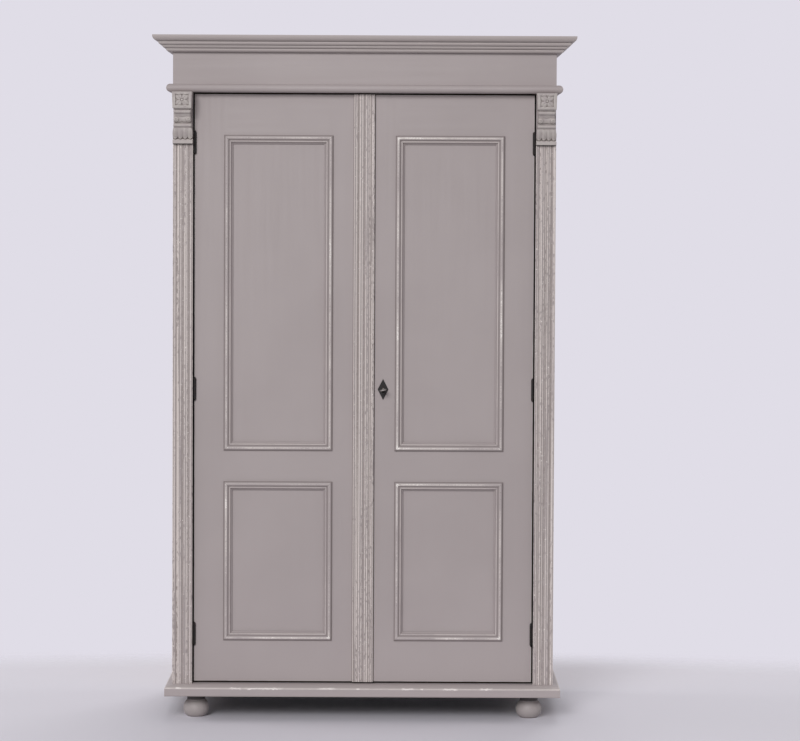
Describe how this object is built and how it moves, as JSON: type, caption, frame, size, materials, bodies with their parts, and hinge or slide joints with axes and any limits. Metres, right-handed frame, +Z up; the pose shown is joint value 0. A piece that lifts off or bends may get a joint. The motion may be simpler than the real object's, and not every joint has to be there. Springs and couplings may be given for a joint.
{
  "type": "two-door wardrobe",
  "caption": "Painted two-door wardrobe with fluted pilasters, scroll corbels, panelled doors, moulded cornice and bun feet; doors hinge, key throws a lock bolt.",
  "frame": {"origin": "centre of the bounding box on the floor, under the middle of the wardrobe", "axes": "+X to the right seen from the front, -Y out of the front, +Z up"},
  "size_m": [1.2, 0.57, 1.95],
  "materials": {
    "painted_wood": "chalky taupe-grey paint, worn at the edges",
    "pine": "bare aged pine",
    "iron": "dark brown-black iron",
    "key_steel": "worn grey steel"
  },
  "bodies": {
    "carcass": {"front_left_foot": "painted_wood", "front_right_foot": "painted_wood", "rear_left_foot": "painted_wood", "rear_right_foot": "painted_wood", "base_moulding_front": "painted_wood", "base_moulding_returns": "painted_wood", "left_side": "painted_wood", "right_side": "painted_wood", "left_pilaster": "painted_wood", "right_pilaster": "painted_wood", "left_corbel": "painted_wood", "right_corbel": "painted_wood", "bead_front": "painted_wood", "bead_returns": "painted_wood", "frieze_front": "painted_wood", "frieze_returns": "painted_wood", "crown_front": "painted_wood", "crown_returns": "painted_wood", "left_front_stile": "painted_wood", "right_front_stile": "painted_wood", "floor_board": "pine", "back_boards": "pine", "sole_board": "pine", "frieze_back": "pine", "top_board": "pine", "door_stops": "pine", "hat_shelf": "pine", "shelf_cleats": "pine", "hanging_rail": "pine", "rail_sockets": "pine", "hinge_frame_leaves": "iron", "hinge_pins": "iron"},
    "left_door": {"left_lower_panel": "painted_wood", "left_upper_panel": "painted_wood", "left_bottom_rail": "painted_wood", "left_middle_rail": "painted_wood", "left_top_rail": "painted_wood", "left_meeting_stile": "painted_wood", "left_hinge_stile": "painted_wood", "left_door_mouldings": "painted_wood", "closing_strip": "painted_wood", "left_door_hinge_leaves": "iron", "bolt_guides": "iron", "lock_keep": "iron"},
    "right_door": {"right_lower_panel": "painted_wood", "right_upper_panel": "painted_wood", "right_bottom_rail": "painted_wood", "right_middle_rail": "painted_wood", "right_top_rail": "painted_wood", "right_meeting_stile": "painted_wood", "right_hinge_stile": "painted_wood", "right_door_mouldings": "painted_wood", "right_door_hinge_leaves": "iron", "escutcheon": "iron", "lock_case": "iron"},
    "key": {"key": "key_steel"},
    "lock_bolt": {"lock_bolt": "iron"},
    "upper_bolt": {"upper_bolt": "iron"},
    "lower_bolt": {"lower_bolt": "iron"}
  },
  "joints": [
    {"name": "left_door_swing", "type": "hinge", "parent": "carcass", "child": "left_door", "pos_m": [-0.4832, -0.2148, 0], "axis": [0, 0, -1], "range_deg": [0, 95]},
    {"name": "right_door_swing", "type": "hinge", "parent": "carcass", "child": "right_door", "pos_m": [0.4832, -0.2148, 0], "axis": [0, 0, 1], "range_deg": [0, 95]},
    {"name": "key_turn", "type": "hinge", "parent": "right_door", "child": "key", "pos_m": [0.0555, -0.2, 0.945], "axis": [0, -1, 0], "range_deg": [0, 160]},
    {"name": "lock_throw", "type": "slide", "parent": "right_door", "child": "lock_bolt", "axis": [-1, 0, 0], "range_m": [0, 0.012]},
    {"name": "upper_bolt_slide", "type": "slide", "parent": "left_door", "child": "upper_bolt", "axis": [0, 0, 1], "range_m": [0, 0.014]},
    {"name": "lower_bolt_slide", "type": "slide", "parent": "left_door", "child": "lower_bolt", "axis": [0, 0, -1], "range_m": [0, 0.014]}
  ],
  "couplings": [
    {"joint": "lock_throw", "follows": "key_turn", "m_per_rad": 0.0042971}
  ]
}
